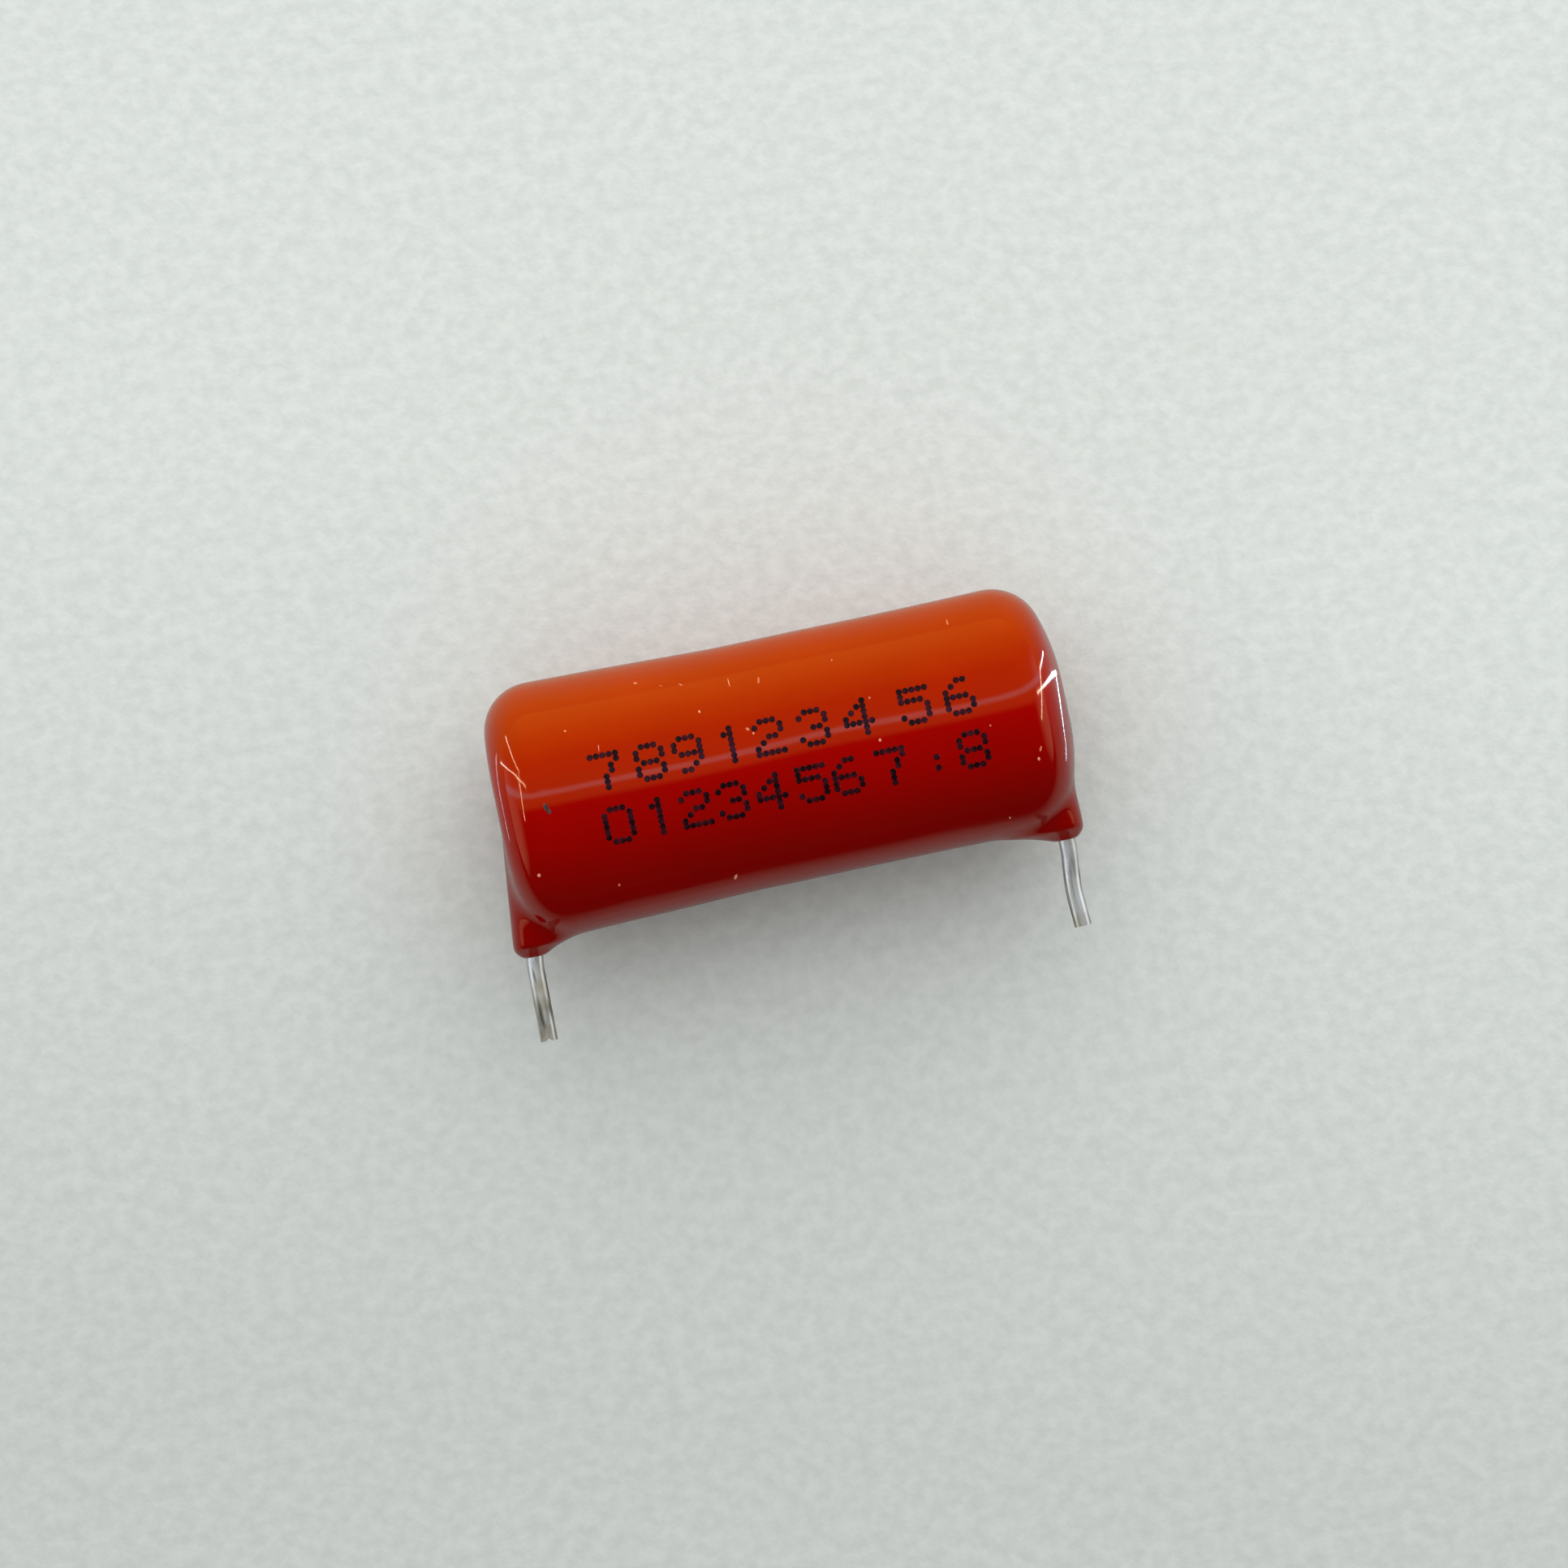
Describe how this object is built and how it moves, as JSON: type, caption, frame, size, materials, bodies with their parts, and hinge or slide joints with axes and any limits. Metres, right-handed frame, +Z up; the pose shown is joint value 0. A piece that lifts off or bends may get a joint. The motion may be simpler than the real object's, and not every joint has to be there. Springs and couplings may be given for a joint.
{
  "type": "polyester film capacitor",
  "caption": "Dipped film capacitor: a glossy rounded epoxy body on its side, with a short tinned wire lead running out of a collar at each end.",
  "frame": {"origin": "middle of the underside of the box round the whole part, on the surface that it lies on", "axes": "+X along the body from the left lead to the right lead, the leads point towards -Y, +Z up"},
  "size_m": [0.0278, 0.0166, 0.0104],
  "materials": {
    "coat": "gloss",
    "film": "satin",
    "sprayed_metal": "matte",
    "solder": "satin",
    "lead_wire": "satin"
  },
  "bodies": {
    "root": {"epoxy_coat": "coat", "film_winding": "film", "end_contact_left": "sprayed_metal", "end_contact_right": "sprayed_metal", "solder_joint_left": "solder", "solder_joint_right": "solder", "lead_left": "lead_wire", "lead_right": "lead_wire"}
  },
  "joints": []
}
